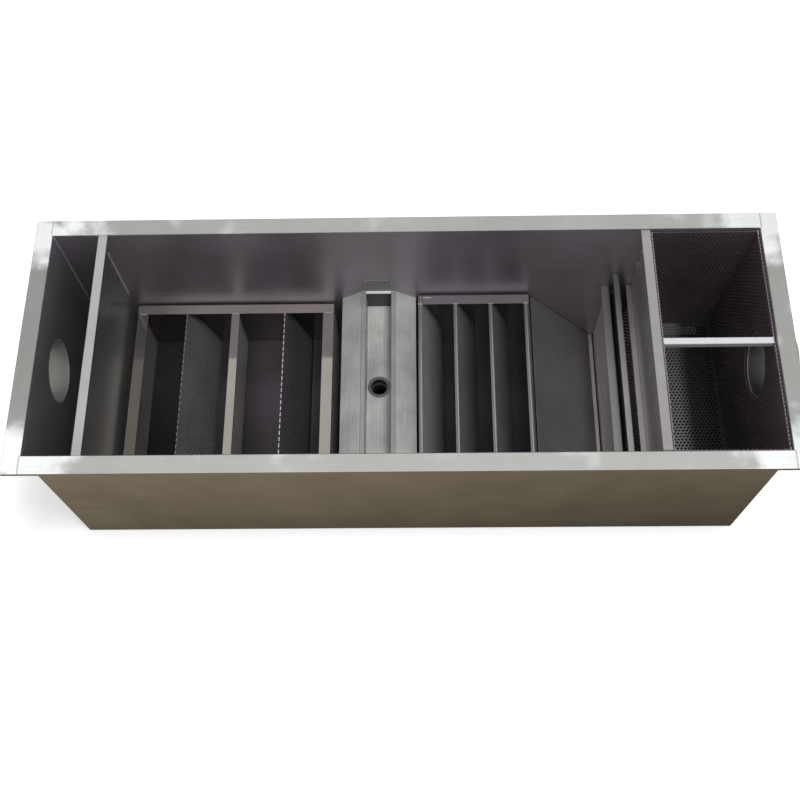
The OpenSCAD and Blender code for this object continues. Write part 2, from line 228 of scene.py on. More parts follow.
class Sock:
    """An output socket of a node tree. Arithmetic on it adds Math nodes."""

    def __init__(self, tree, socket):
        self.tree = tree
        self.socket = socket

    def out(self, name):
        """Another output of the same node."""
        return Sock(self.tree, self.socket.node.outputs[name])

    def math(self, operation, *values):
        """A Math node of the operation."""
        return self.tree.node("ShaderNodeMath", {"operation": operation}, dict(enumerate(values)))

    def __add__(self, other):
        return self.math("ADD", self, other)

    def __radd__(self, other):
        return self.math("ADD", other, self)

    def __sub__(self, other):
        return self.math("SUBTRACT", self, other)

    def __rsub__(self, other):
        return self.math("SUBTRACT", other, self)

    def __mul__(self, other):
        return self.math("MULTIPLY", self, other)

    def __rmul__(self, other):
        return self.math("MULTIPLY", other, self)

    def __truediv__(self, other):
        return self.math("DIVIDE", self, other)

    def __rtruediv__(self, other):
        return self.math("DIVIDE", other, self)

    def __mod__(self, other):
        return self.math("FLOORED_MODULO", self, other)

    def __rmod__(self, other):
        return self.math("FLOORED_MODULO", other, self)

    def __gt__(self, other):
        return self.math("GREATER_THAN", self, other)

    def __lt__(self, other):
        return self.math("LESS_THAN", self, other)

    def __abs__(self):
        return self.math("ABSOLUTE", self)

    def either(self, other):
        """The larger of two values, so 1 where either mask is 1."""
        return self.math("MAXIMUM", self, other)

    def fade(self, low, high):
        """0 at low, 1 at high, smooth between."""
        return self.tree.node(
            "ShaderNodeMapRange",
            {"interpolation_type": "SMOOTHSTEP"},
            {"Value": self, "From Min": low, "From Max": high},
        )


class Tree:
    """Adds nodes to one shader or geometry tree."""

    def __init__(self, tree):
        self.tree = tree

    def node(self, kind, settings=None, inputs=None, out=0):
        """A node of the kind, with its settings made first, then its sockets' values or links."""
        made = self.tree.nodes.new(kind)
        for key, value in (settings or {}).items():
            setattr(made, key, value)
        for key, value in (inputs or {}).items():
            if isinstance(value, Sock):
                self.tree.links.new(value.socket, made.inputs[key])
            else:
                made.inputs[key].default_value = value
        if not made.outputs:
            return None
        return Sock(self, made.outputs[out])

    def xyz(self, vector):
        """The three parts of a vector."""
        parts = self.node("ShaderNodeSeparateXYZ", None, {0: vector})
        return parts, parts.out("Y"), parts.out("Z")

    def vector(self, x, y, z):
        """A vector of three parts."""
        return self.node("ShaderNodeCombineXYZ", None, {"X": x, "Y": y, "Z": z})

    def distance(self, place, other):
        """Distance of two places."""
        return self.node("ShaderNodeVectorMath", {"operation": "DISTANCE"}, {0: place, 1: other}, "Value")

    def blend(self, low, high, share):
        """Mix of two colours."""
        colours = [c if isinstance(c, Sock) else (*c, 1.0) for c in (low, high)]
        settings = {"data_type": "RGBA", "clamp_factor": True}
        return self.node("ShaderNodeMix", settings, {0: share, 6: colours[0], 7: colours[1]}, 2)

    def noise(self, place, scale, detail=2.0, roughness=0.5):
        """Noise about 0.5."""
        return self.node(
            "ShaderNodeTexNoise",
            None,
            {"Vector": place, "Scale": scale, "Detail": detail, "Roughness": roughness},
        )

    def streaks(self, place, along):
        """Noise drawn out into long streaks along one axis."""
        stretch = tuple(STREAK_ALONG if axis == along else STREAK_ACROSS for axis in "xyz")
        drawn = self.node("ShaderNodeVectorMath", {"operation": "MULTIPLY"}, {0: place, 1: stretch})
        return self.noise(drawn, scale=1.0, detail=3.0, roughness=0.6)

    def grid(self, size_x, size_y, columns, rows):
        """A flat grid about the origin."""
        inputs = {"Size X": size_x, "Size Y": size_y, "Vertices X": columns, "Vertices Y": rows}
        return self.node("GeometryNodeMeshGrid", None, inputs)

    def moved(self, geometry, **inputs):
        """Geometry with the places of its points set or offset."""
        return self.node("GeometryNodeSetPosition", None, {"Geometry": geometry, **inputs})

    def extruded(self, mesh, edges):
        """A second row of points on chosen edges, joined to the first by faces."""
        inputs = {"Mesh": mesh, "Selection": edges, "Offset Scale": 0.0}
        return self.node("GeometryNodeExtrudeMesh", {"mode": "EDGES"}, inputs)

    def merged(self, geometry):
        """Geometry with its doubled points made one."""
        inputs = {"Geometry": geometry, "Distance": MERGE_DISTANCE}
        return self.node("GeometryNodeMergeByDistance", None, inputs)

    def joined(self, *parts):
        """Several geometries as one."""
        made = self.node("GeometryNodeJoinGeometry", None, {0: parts[0]})
        for part in parts[1:]:
            self.tree.links.new(part.socket, made.socket.node.inputs[0])
        return made


def length(name, description, default):
    """A length that a user may change."""
    return FloatProperty(
        name=name, description=description, default=default, unit="LENGTH", subtype="DISTANCE"
    )


def paint(name, description, default):
    """A colour that a user may change."""
    return FloatVectorProperty(name=name, description=description, default=default, subtype="COLOR")


class TrapSettings(bpy.types.PropertyGroup):
    """Sizes and colours of the dressed grease trap."""

    hole_pitch: length("Hole pitch", "Distance between neighbouring holes of the perforated sheet", 0.007)
    hole_size: length("Hole size", "Diameter of a hole in the perforated sheet", 0.0047)
    hole_edge: length("Bare edge", "Least width of the unperforated edge of a plate", 0.003)
    bead_size: length("Weld bead", "Radius of a weld bead", 0.002)
    bead_step: length("Weld ripple", "Distance from one ripple of a weld bead to the next", 0.0028)
    rim_colour: paint("Rim", "Brushed steel of the rim", (0.46, 0.465, 0.445))
    polish_colour: paint(
        "Polished corners", "Ground and polished steel over the rim's corner welds", (0.95, 0.98, 0.965)
    )
    # Painted reflection: the front wall's colour is its warm steel, darkened and browned as a reflection of
    # dark, brown surroundings.
    front_steel_and_painted_reflection: paint("Front wall", "Warm mill finish of the tank's front wall", (0.197, 0.168, 0.125))
    mill_colour: paint(
        "Other outer walls", "Mill finish of the tank's ends, rear wall and underside", (0.25, 0.237, 0.213)
    )
    edge_tint: paint(
        "Edge-on tint", "Tint of what the tank's walls mirror when seen edge-on", (0.25, 0.25, 0.25)
    )
    inner_colour: paint("Inner walls", "Dull steel of the tank's inner walls", (0.635, 0.59, 0.655))
    # Painted shade: the tank floor's dark colour stands for the shade on it.
    floor_painted_shade: paint("Tank floor", "Dark, stained steel of the tank's floor", (0.067, 0.060, 0.068))
    baffle_colour: paint("Outlet baffle", "Sheet of the outlet baffle", (0.21, 0.208, 0.208))
    weir_colour: paint(
        "Weirs", "Sheet of the inlet baffle and the hanging, weir and slope plates", (0.50, 0.48, 0.477)
    )
    trough_colour: paint("Oil trough", "Brushed sheet of the oil trough", (0.435, 0.438, 0.423))
    frame_colour: paint("Filter frame", "Flat bars and flanges of the filter box", (0.345, 0.32, 0.29))
    pack_colour: paint("Plate pack", "Dull sheet of the plate pack", (0.36, 0.348, 0.352))
    sieve_colour: paint(
        "Perforated sheet",
        "Perforated sheet of the filter box and of the basket's left side and floor",
        (0.265, 0.25, 0.262),
    )
    # Painted shade: the basket's right, front and rear panels are dark; its lit left panel takes the
    # lighter perforated sheet's colour.
    basket_painted_shade: paint("Basket", "Dark, stained perforated sheet of the basket", (0.158, 0.13, 0.15))
    # Painted highlight: how much brighter the top cut edges are.
    cut_painted_highlight: FloatProperty(
        name="Cut edges",
        description="How much brighter the perforated sheet is on its cut edges",
        default=2.7,
    )
    handle_colour: paint("Handle", "Bright bar across the basket", (0.65, 0.63, 0.66))
    pipe_colour: paint("Pipes", "Satin steel of the pipes", (0.26, 0.255, 0.24))
    weld_colour: paint("Welds", "Bright metal of the weld beads", (0.62, 0.62, 0.61))


def scaled(colour, factor):
    """A brighter or darker colour."""
    return [factor * c for c in colour]


def bare_tree(block):
    """The emptied node tree of a material or a world."""
    block.use_nodes = True
    block.node_tree.nodes.clear()
    return Tree(block.node_tree)


def new_finish(name):
    """A new material, its tree and the object coordinates."""
    material = bpy.data.materials.new(name)
    tree = bare_tree(material)
    return material, tree, tree.node("ShaderNodeTexCoord", None, None, "Object")


def shaded(tree, tone, shade):
    """A colour times a number that changes over the surface."""
    grey = tree.node("ShaderNodeCombineColor", None, {"Red": shade, "Green": shade, "Blue": shade})
    settings = {"data_type": "RGBA", "blend_type": "MULTIPLY"}
    if not isinstance(tone, Sock):
        tone = (*tone, 1.0)
    return tree.node("ShaderNodeMix", settings, {0: 1.0, 6: tone, 7: grey}, 2)


def finish_steel(material, tree, tone, dull, height, metallic, tint=(1.0, 1.0, 1.0)):
    """Ends a steel: colour, roughness, a height in metres and the tint of what it mirrors edge-on."""
    bump = tree.node("ShaderNodeBump", None, {"Strength": BUMP_STRENGTH, "Distance": 1.0, "Height": height})
    steel = tree.node(
        "ShaderNodeBsdfPrincipled",
        None,
        {
            "Base Color": tone,
            "Metallic": metallic,
            "Roughness": dull,
            "Normal": bump,
            "Specular Tint": (*tint, 1.0),
        },
    )
    tree.node("ShaderNodeOutputMaterial", None, {"Surface": steel})
    return material


def above(height, factor):
    """Mark: metal above a height is brighter or darker."""
    return lambda x, y, z: 1.0 + (z > height) * (factor - 1.0)


def past(edge, height, factor):
    """Mark: metal above a height is darker to the left of an edge."""
    return lambda x, y, z: 1.0 + (z > height) * (x < edge) * (factor - 1.0)


def joint(x, y, z):
    """Mark: dark line where a plate meets the long walls."""
    return 1.0 - JOINT_DARK * abs(y).fade(INSIDE_Y - JOINT_WIDTH, INSIDE_Y)


def bore(node, factor):
    """Mark: the inside of a pipe along X is darker, a painted shade in its bore."""
    low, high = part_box(node)
    middle = (low.z + high.z) / 2
    radius = high.y - SHEET / 2
    return lambda x, y, z: 1.0 + (y * y + (z - middle) * (z - middle) < radius * radius) * (factor - 1.0)


def deep(low, high, factor):
    """Mark: metal grows darker or brighter downwards, from 1 at the high place to the factor at the low."""
    return lambda x, y, z: factor + z.fade(low, high) * (1.0 - factor)


def fold(low, high, rear, front):
    """Mark: factors at the rear and at the front of a fold that lies between two heights."""

    def factor(x, y, z):
        share = y.fade(-INSIDE_Y / 2, INSIDE_Y)
        return 1.0 + (z > low) * (z < high) * (front - 1.0 + share * (rear - front))

    return factor


def painted_shadow_rightwards(start, end, factor):
    """Mark: metal grows darker to the right, a painted shadow."""
    return lambda x, y, z: 1.0 + x.fade(start, end) * (factor - 1.0)


def brushed(name, colour, rough, along, streak=0.10, smudge=0.16, wave=0.10, metallic=0.7, marks=()):
    """Brushed stainless: streaks along one axis, smudges, a slight wave.

    Each of the marks is a function of X, Y and Z that gives a factor for the colour.
    """
    material, tree, place = new_finish(name)
    lines = tree.streaks(place, along)
    smudges = tree.noise(place, scale=9.0, detail=5.0, roughness=0.6)
    waves = tree.noise(place, scale=4.0, detail=1.0)
    shade = 1.0 + (lines - 0.5) * (NOISE_GAIN * streak) + (smudges - 0.5) * (NOISE_GAIN * smudge)
    tone = shaded(tree, colour, shade)
    for mark in marks:
        tone = shaded(tree, tone, mark(*tree.xyz(place)))
    dull = rough * (0.5 + smudges * 0.7 + lines * 0.3)
    height = lines * STREAK_HEIGHT + waves * (WAVE_HEIGHT * wave)
    return finish_steel(material, tree, tone, dull, height, metallic)


def rim_tone(tree, look, place, level, smudges):
    """Colour of the brushed rim with painted highlights, painted shade at the rear left, polished corners
    and seams, and where it is polished.
    """
    x, y, _ = tree.xyz(place)
    wander = (tree.noise(place, scale=18.0, detail=3.0) - 0.5) * POLISH_WANDER
    from_end = (abs(abs(x) - INSIDE_X) + wander).fade(*POLISH_ALONG)
    from_side = (abs(abs(y) - INSIDE_Y) + wander).fade(*POLISH_ACROSS)
    polish = (1.0 - from_end) * (1.0 - from_side)
    # Painted highlights: random spots blended towards the polish colour stand for glint spots.
    painted_glints = tree.noise(place, scale=14.0).fade(*PAINTED_GLINT_FADE)
    seam = 1.0 - abs(abs(x) - INSIDE_X - SHEET).fade(*SEAM_FADE)
    seam = seam * (abs(y) > INSIDE_Y + SEAM_START)
    # Painted shade: the rim darkens towards its rear left.
    left = 1.0 - x.fade(-INSIDE_X, RIM_PAINTED_SHADE_END)
    shade = 1.0 - RIM_PAINTED_SHADE * left * y.fade(-INSIDE_Y, RIM_PAINTED_SHADE_END)
    plain = scaled(look.rim_colour, level)
    tone = tree.blend(shaded(tree, plain, shade), look.polish_colour, painted_glints * PAINTED_GLINT_SHARE)
    tone = tree.blend(tone, look.polish_colour, polish * (0.75 + 0.4 * smudges))
    return tree.blend(tone, scaled(plain, SEAM_TONE), seam * SEAM_SHARE), polish


def wall_tone(tree, look, place):
    """Colour of the tank's walls and floor, inside and outside, with painted light and shade."""
    x, y, z = tree.xyz(place)
    outside = (abs(x) > INSIDE_X + SHEET / 2).either(abs(y) > INSIDE_Y + SHEET / 2)
    outside = outside.either(z < SHEET / 2)
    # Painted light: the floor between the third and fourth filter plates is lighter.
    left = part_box("filter_plate_3")[1].x
    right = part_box("filter_plate_4")[1].x
    painted_lit_floor = x.fade(left - BAY_EDGE, left + BAY_EDGE) * (1.0 - x.fade(right - BAY_EDGE, right + BAY_EDGE))
    # The floor is darker towards the front and lighter towards the rear.
    graded = FLOOR_FRONT + FLOOR_RISE * y.fade(*FLOOR_FADE)
    floor = shaded(tree, look.floor_painted_shade, (1.0 + painted_lit_floor * BAY_PAINTED_LIGHT) * graded)
    # Painted shade: the wall darkens at the trough, and most in the channel's end under the rear bracket.
    low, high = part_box("trough_bracket_rear")
    painted_pocket_shade = (x > low.x) * (x < high.x) * (z < low.z + SHEET)
    painted_trough_shade = x.fade(low.x - TROUGH_FADE, low.x) * (1.0 - x.fade(high.x, high.x + TROUGH_FADE))
    inner = shaded(tree, look.inner_colour, 1.0 - POCKET_PAINTED_SHADE * painted_pocket_shade - TROUGH_PAINTED_SHADE * painted_trough_shade)
    inner = tree.blend(inner, floor, z < FLOOR_BEND)
    # Painted shade: the front wall darkens downwards and to the right.
    painted_front_shade = FRONT_LEVEL - FRONT_PAINTED_SHADE_DOWN * (1.0 - z.fade(0.0, RIM_Z))
    painted_front_shade = painted_front_shade - FRONT_PAINTED_SHADE_RIGHT * x.fade(-INSIDE_X, INSIDE_X)
    front = y < -INSIDE_Y - SHEET / 2
    outer = tree.blend(look.mill_colour, shaded(tree, look.front_steel_and_painted_reflection, painted_front_shade), front)
    return tree.blend(inner, outer, outside)


def tank_steel(name, look, along, rim_level):
    """Steel of the tank: brushed rim with polished corners and painted highlights, mill-finished walls, a
    floor painted dark as shade, and painted shade towards the rear.
    """
    material, tree, place = new_finish(name)
    _, y, z = tree.xyz(place)
    lines = tree.streaks(place, along)
    smudges = tree.noise(place, scale=7.0, detail=5.0, roughness=0.6)
    waves = tree.noise(place, scale=3.0, detail=1.0)
    rim = z > RIM_Z - RIM_BEND
    rim_colour, polish = rim_tone(tree, look, place, rim_level, smudges)
    tone = tree.blend(wall_tone(tree, look, place), rim_colour, rim)
    # Painted shade: the tank's steel is brighter in front and darker towards the rear.
    painted_rear_shade = TANK_LEVEL - TANK_PAINTED_REAR_SHADE * y.fade(-INSIDE_Y, INSIDE_Y)
    tone = shaded(tree, tone, painted_rear_shade + (lines - 0.5) * TANK_STREAK + (smudges - 0.5) * TANK_SMUDGE)
    dull = TANK_ROUGH + (smudges - 0.5) * ROUGH_SMUDGE + (lines - 0.5) * ROUGH_STREAK
    dull = dull - rim * (RIM_GLOSS + POLISH_GLOSS * polish)
    height = lines * STREAK_HEIGHT + waves * TANK_WAVE
    return finish_steel(material, tree, tone, dull, height, TANK_METALLIC, look.edge_tint)


def give(names, material):
    """Puts one material on CAD nodes."""
    for name in names:
        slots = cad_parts[name].material_slots
        if not slots:
            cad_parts[name].data.materials.append(material)
        for slot in slots:
            slot.material = material


def dress(names, steel, colour, grain, *marks):
    """Puts a new brushed steel on CAD nodes."""
    give(names, brushed(steel, colour, marks=marks, **grain))


def add_piece(name, mesh, material, replaced=()):
    """A finished piece of the trap, at the origin, riding on the tank."""
    if not mesh.materials:
        mesh.materials.append(material)
    piece = bpy.data.objects.new(name, mesh)
    bpy.context.scene.collection.objects.link(piece)
    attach(piece, BODY)
    if replaced:
        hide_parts(*replaced)


def geometry_tree(name, inputs):
    """A geometry tree with named inputs and one geometry output."""
    group = bpy.data.node_groups.new(name, "GeometryNodeTree")
    group.interface.new_socket("Geometry", in_out="OUTPUT", socket_type="NodeSocketGeometry")
    for label, kind in inputs:
        group.interface.new_socket(label, in_out="INPUT", socket_type="NodeSocket" + kind)
    tree = Tree(group)
    given = tree.node("NodeGroupInput")
    return tree, {label: given.out(label) for label, _ in inputs}


def close_tree(tree, geometry, material):
    """Ends a geometry tree with real faces that carry their material."""
    real = tree.node("GeometryNodeRealizeInstances", None, {0: geometry})
    painted = tree.node("GeometryNodeSetMaterial", None, {"Geometry": real, "Material": material})
    tree.node("NodeGroupOutput", None, {0: painted})
    return tree.tree


def grown(group, values, start=None):
    """Plain mesh that a geometry tree makes from a start mesh and its input values."""
    holder = bpy.data.objects.new("holder", start or bpy.data.meshes.new("start"))
    bpy.context.scene.collection.objects.link(holder)
    modifier = holder.modifiers.new("grow", "NODES")
    modifier.node_group = group
    for item in group.interface.items_tree:
        if item.in_out == "INPUT" and item.name in values:
            modifier[item.identifier] = values[item.name]
    graph = bpy.context.evaluated_depsgraph_get()
    mesh = bpy.data.meshes.new_from_object(holder.evaluated_get(graph), depsgraph=graph)
    holder.modifiers.remove(modifier)
    bpy.data.objects.remove(holder)
    if not mesh.polygons:
        raise RuntimeError(f"{group.name} made no faces")
    return mesh


def holed_tile(tree, pitch, step, hole, thick):
    """One tile of the sheet round its hole: lower ring, hole wall and upper ring, eight flats each."""
    strip = tree.grid(1.0, 3.0, columns=9, rows=4)
    u, v, _ = tree.xyz(tree.node("GeometryNodeInputPosition"))
    turn = u * (-2.0 * math.pi)
    across = turn.math("COSINE", turn)
    along = turn.math("SINE", turn)
    level = v + 1.5
    inner = (level > 0.5) * (level < 2.5)
    square = abs(across).either(abs(along))
    x = inner * across * hole / 2.0 + (1.0 - inner) * across / square * pitch / 2.0
    y = inner * along * hole / 2.0 + (1.0 - inner) * along / square * step / 2.0
    z = ((level > 1.5) - 0.5) * thick
    return tree.merged(tree.moved(strip, Position=tree.vector(x, y, z)))


def half_tile(tree, pitch, step, thick):
    """Plain half tile that fills the end of a staggered row."""
    face = tree.grid(pitch / 2.0, step, columns=2, rows=3)
    back = tree.node("GeometryNodeFlipFaces", None, {"Mesh": face})
    lift = tree.vector(0.0, 0.0, thick / 2.0)
    sink = tree.vector(0.0, 0.0, thick / -2.0)
    upper = tree.node("GeometryNodeTransform", None, {"Geometry": face, "Translation": lift})
    lower = tree.node("GeometryNodeTransform", None, {"Geometry": back, "Translation": sink})
    return tree.joined(upper, lower)


def hole_field(tree, given, place, step):
    """Sheet of holed tiles in staggered rows, with half tiles at the rows' ends and room for a pipe."""
    pitch = given["Pitch"]
    thick = given["Thickness"]
    columns = given["Columns"]
    rows = given["Rows"]
    span_x = (columns - 1.0) * pitch
    span_y = (rows - 1.0) * step
    field = tree.grid(span_x, span_y, columns, rows)
    row = (tree.xyz(place)[1] + span_y / 2.0) / step
    odd = row.math("ROUND", row) % 2.0
    field = tree.moved(field, Offset=tree.vector((odd - 0.5) * pitch / 2.0, 0.0, 0.0))
    near = tree.distance(place, given["Pipe"]) < given["Pipe room"] + pitch * PIPE_MARGIN
    field = tree.node("GeometryNodeDeleteGeometry", None, {"Geometry": field, "Selection": near})
    start = tree.vector(0.0, span_y / -2.0, 0.0)
    ends = tree.node(
        "GeometryNodeMeshLine",
        None,
        {"Count": rows, "Start Location": start, "Offset": tree.vector(0.0, step, 0.0)},
    )
    ends = tree.moved(ends, Offset=tree.vector((0.5 - odd) * columns * pitch, 0.0, 0.0))
    tile = holed_tile(tree, pitch, step, given["Hole"], thick)
    half = half_tile(tree, pitch, step, thick)
    tiles = tree.node("GeometryNodeInstanceOnPoints", None, {"Points": field, "Instance": tile})
    halves = tree.node("GeometryNodeInstanceOnPoints", None, {"Points": ends, "Instance": half})
    sheet = tree.node("GeometryNodeRealizeInstances", None, {0: tree.joined(tiles, halves)})
    return tree.merged(sheet)


def perforation_tree():
    """Sheet with staggered holes: rows of holed tiles, a bare edge, and room round one pipe."""
    tree, given = geometry_tree(
        "perforated_sheet",
        [
            ("Columns", "Int"),
            ("Rows", "Int"),
            ("Pitch", "Float"),
            ("Hole", "Float"),
            ("Thickness", "Float"),
            ("Low", "Vector"),
            ("High", "Vector"),
            ("Pipe", "Vector"),
            ("Pipe room", "Float"),
            ("Material", "Material"),
        ],
    )
    pitch = given["Pitch"]
    step = pitch * ROW_STEP
    place = tree.node("GeometryNodeInputPosition")
    sheet = hole_field(tree, given, place, step)
    single = tree.node("GeometryNodeInputMeshEdgeNeighbors") < 1.5
    skirt = tree.extruded(sheet, single)
    x, y, z = tree.xyz(place)
    half_x = (given["Columns"] + 0.5) * pitch / 2.0
    half_y = given["Rows"] * step / 2.0
    low = tree.xyz(given["Low"])
    high = tree.xyz(given["High"])
    edge_x = low[0] + (x / half_x + 1.0) * 0.5 * (high[0] - low[0])
    edge_y = low[1] + (y / half_y + 1.0) * 0.5 * (high[1] - low[1])
    pipe = tree.xyz(given["Pipe"])
    room = given["Pipe room"]
    flat = tree.distance(tree.vector(x, y, 0.0), given["Pipe"])
    inner = (flat < room + pitch * RING_REACH) * (room > 0.0)
    ring_x = pipe[0] + (x - pipe[0]) / flat * room
    ring_y = pipe[1] + (y - pipe[1]) / flat * room
    edge = tree.vector(edge_x + inner * (ring_x - edge_x), edge_y + inner * (ring_y - edge_y), z)
    top = skirt.out("Top")
    sheet = tree.moved(skirt, Selection=top, Position=edge)
    wall = tree.extruded(sheet, top * (z > 0.0))
    drop = tree.vector(0.0, 0.0, given["Thickness"] * -1.0)
    sheet = tree.moved(wall, Selection=wall.out("Top"), Offset=drop)
    return close_tree(tree, tree.merged(sheet), given["Material"])


def weld_tree():
    """Row of overlapping ripples along every edge chain of the start mesh."""
    tree, given = geometry_tree(
        "weld_bead",
        [
            ("Path", "Geometry"),
            ("Radius", "Float"),
            ("Step", "Float"),
            ("Seed", "Int"),
            ("Material", "Material"),
        ],
    )
    step = given["Step"]
    path = tree.node("GeometryNodeMeshToCurve", None, {"Mesh": given["Path"]})
    points = tree.node("GeometryNodeCurveToPoints", {"mode": "LENGTH"}, {"Curve": path, "Length": step})
    ripple = tree.node("GeometryNodeMeshUVSphere", None, {"Segments": 8, "Rings": 4, "Radius": 1.0})
    ripple = tree.node("GeometryNodeSetShadeSmooth", None, {"Geometry": ripple})
    spread = {2: BEAD_SPREAD[0], 3: BEAD_SPREAD[1], "Seed": given["Seed"]}
    wide = tree.node("FunctionNodeRandomValue", {"data_type": "FLOAT"}, spread, 1)
    radius = given["Radius"] * wide
    beads = tree.node(
        "GeometryNodeInstanceOnPoints",
        None,
        {
            "Points": points,
            "Instance": ripple,
            "Rotation": points.out("Rotation"),
            "Scale": tree.vector(radius, radius, step * RIPPLE_LENGTH),
        },
    )
    return close_tree(tree, beads, given["Material"])


def perforated_panel(context, group, node, axes, size, material, cut=None, pipe=None):
    """Fine perforated sheet in place of one CAD panel.

    Its rows of holes run along its own X. `cut` names the axis whose high edge runs through the last holes,
    and `pipe` gives the middle and the radius of a round opening.
    """
    look = context.scene.trap
    pitch = look.hole_pitch
    step = pitch * ROW_STEP
    edge = look.hole_edge
    long, wide, thick = size
    columns = int((long - 2 * edge) / pitch - 0.5)
    rows = int((wide - 2 * edge) / step)
    shift = Vector((0.0, 0.0, 0.0))
    high = Vector((long / 2, wide / 2, 0.0))
    low = -high
    trim = high + Vector((TRIM_MARGIN, TRIM_MARGIN, 0.0))
    if cut == "x":
        columns = int((long - edge) / pitch)
        shift.x = long / 2 - columns * pitch + (columns + 0.5) * pitch / 2
        high.x += pitch
    if cut == "y":
        rows = int((wide - edge) / step)
        shift.y = wide / 2 - (rows - 1) * step / 2
        high.y += step
    centre, room = pipe or (Vector((1.0, 1.0, 0.0)), 0.0)
    values = {
        "Columns": columns,
        "Rows": rows,
        "Pitch": pitch,
        "Hole": look.hole_size,
        "Thickness": thick,
        "Low": low - shift,
        "High": high - shift,
        "Pipe": centre - shift,
        "Pipe room": room,
        "Material": material,
    }
    mesh = grown(group, values)
    mesh.name = node + "_sheet"
    work = bmesh.new()
    work.from_mesh(mesh)
    if cut:
        trim_edge(work, trim - shift, ALONG_X if cut == "x" else ALONG_Y)
    bmesh.ops.recalc_face_normals(work, faces=work.faces[:])
    work.to_mesh(mesh)
    work.free()
    mesh.transform(axes @ Matrix.Translation(shift))
    add_piece(node + "_perforated", mesh, material, [node])


def trim_edge(work, place, along):
    """Cuts a sheet off past a place and closes the cut."""
    whole = work.verts[:] + work.edges[:] + work.faces[:]
    cut = bmesh.ops.bisect_plane(
        work, geom=whole, dist=TRIM_DISTANCE, plane_co=place, plane_no=along, clear_outer=True
    )
    edges = [e for e in cut["geom_cut"] if isinstance(e, bmesh.types.BMEdge)]
    bmesh.ops.holes_fill(work, edges=edges, sides=0)


def axes_of(up, across, centre):
    """Matrix that stands a panel's own X along `up` and its Y along `across`, about `centre`."""
    up = Vector(up).normalized()
    across = Vector(across).normalized()
    out = up.cross(across)
    turn = Matrix((up, across, out)).transposed().to_4x4()
    return Matrix.Translation(centre) @ turn


def leaning(low, high, thick):
    """Lean, height and middle of a plate that fills a box from corner to corner."""
    size = high - low
    lean = math.atan2(size.x, size.z)
    for _ in range(30):
        tall = (size.z - thick * math.sin(lean)) / math.cos(lean)
        lean = math.asin((size.x - thick * math.cos(lean)) / tall)
    return lean, tall, (low + high) / 2


class TRAP_OT_tank(bpy.types.Operator):
    """Give the tank and its pipes their steel"""

    bl_idname = "trap.tank"
    bl_label = "Tank"

    def execute(self, context):
        look = context.scene.trap
        give(["tank_body_sheet"], tank_steel("tank_long_steel", look, "x", 1.0))
        ends = tank_steel("tank_end_steel", look, "y", END_RIM_LEVEL)
        give(["outlet_end_plate", "inlet_end_plate"], ends)
        dress(["outlet_pipe"], "outlet_pipe_steel", look.pipe_colour, PIPE_GRAIN)
        # Painted shade in the inlet pipe's bore.
        bore_shade = bore("inlet_pipe", factor=0.38)
        dress(["inlet_pipe"], "inlet_pipe_steel", look.pipe_colour, PIPE_GRAIN, bore_shade)
        return {"FINISHED"}


class TRAP_OT_baffles(bpy.types.Operator):
    """Give the baffles, the weirs and the slope plate their steel"""

    bl_idname = "trap.baffles"
    bl_label = "Baffles and weirs"

    def execute(self, context):
        look = context.scene.trap
        weir = look.weir_colour
        # Painted highlight: the outlet baffle's top fold is brighter.
        top = above(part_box("outlet_baffle")[1].z - SHEET, factor=2.0)
        dress(["outlet_baffle"], "baffle_steel", look.baffle_colour, OUTLET_GRAIN, top)
        low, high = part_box("inlet_baffle")
        # The inlet baffle's top fold is darker; painted reflection on its foot, darker to the rear and
        # brighter in front.
        top = above(high.z - SHEET, factor=0.62)
        foot = fold(0.0, low.z + 1.5 * SHEET, rear=0.95, front=1.5)
        dress(["inlet_baffle"], "weir_steel", weir, INLET_GRAIN, joint, top, foot)
        # Painted reflection on the hanging plate's top fold: darker to the rear, lighter in front.
        top = fold(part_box("hanging_plate")[1].z - SHEET, RIM_Z, rear=0.32, front=0.90)
        dress(["hanging_plate"], "hanging_steel", weir, INLET_GRAIN, joint, top)
        low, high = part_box("weir_plate")
        # Painted reflection on the weir's top fold, darker to the rear; painted light on its face, brighter
        # downwards.
        top = fold(high.z - SHEET, RIM_Z, rear=0.26, front=0.60)
        face = deep(low.z + WEIR_FOOT, high.z - WEIR_TOP, factor=2.4)
        tone = scaled(weir, TONE["weir_plate"])
        dress(["weir_plate"], "weir_plate_steel", tone, WEIR_GRAIN, joint, top, face)
        # The slope plate is darker above its foot.
        graded = above(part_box("slope_plate")[0].z + 2 * SHEET, factor=0.37)
        tone = scaled(weir, TONE["slope_plate"])
        dress(["slope_plate"], "slope_steel", tone, SLOPE_GRAIN, joint, graded)
        return {"FINISHED"}


class TRAP_OT_trough(bpy.types.Operator):
    """Give the oil trough and its drain their steel"""

    bl_idname = "trap.trough"
    bl_label = "Oil trough"

    def execute(self, context):
        look = context.scene.trap
        low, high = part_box("oil_trough")
        # Painted light and shade: the channel floor is lighter than the ramps, and the ridge tops are
        # darker.
        ramps = above(low.z + RAMP_FOOT, factor=0.88)
        ridges = above(high.z - SHEET, factor=0.62)
        dress(["oil_trough"], "trough_steel", look.trough_colour, TROUGH_GRAIN, ramps, ridges)
        brackets = ["trough_bracket_rear", "trough_bracket_front"]
        # Painted highlight: the brackets' lip below the ridge height is bright, the upright above it
        # darker.
        top = above(high.z + 2 * SHEET, factor=0.32)
        tone = scaled(look.trough_colour, TONE["trough_bracket"])
        dress(brackets, "bracket_steel", tone, BRACKET_GRAIN, top)
        tone = scaled(look.pipe_colour, TONE["drain"])
        dress(["drain_socket", "drain_pipe", "drain_spigot"], "drain_steel", tone, DRAIN_GRAIN)
        return {"FINISHED"}


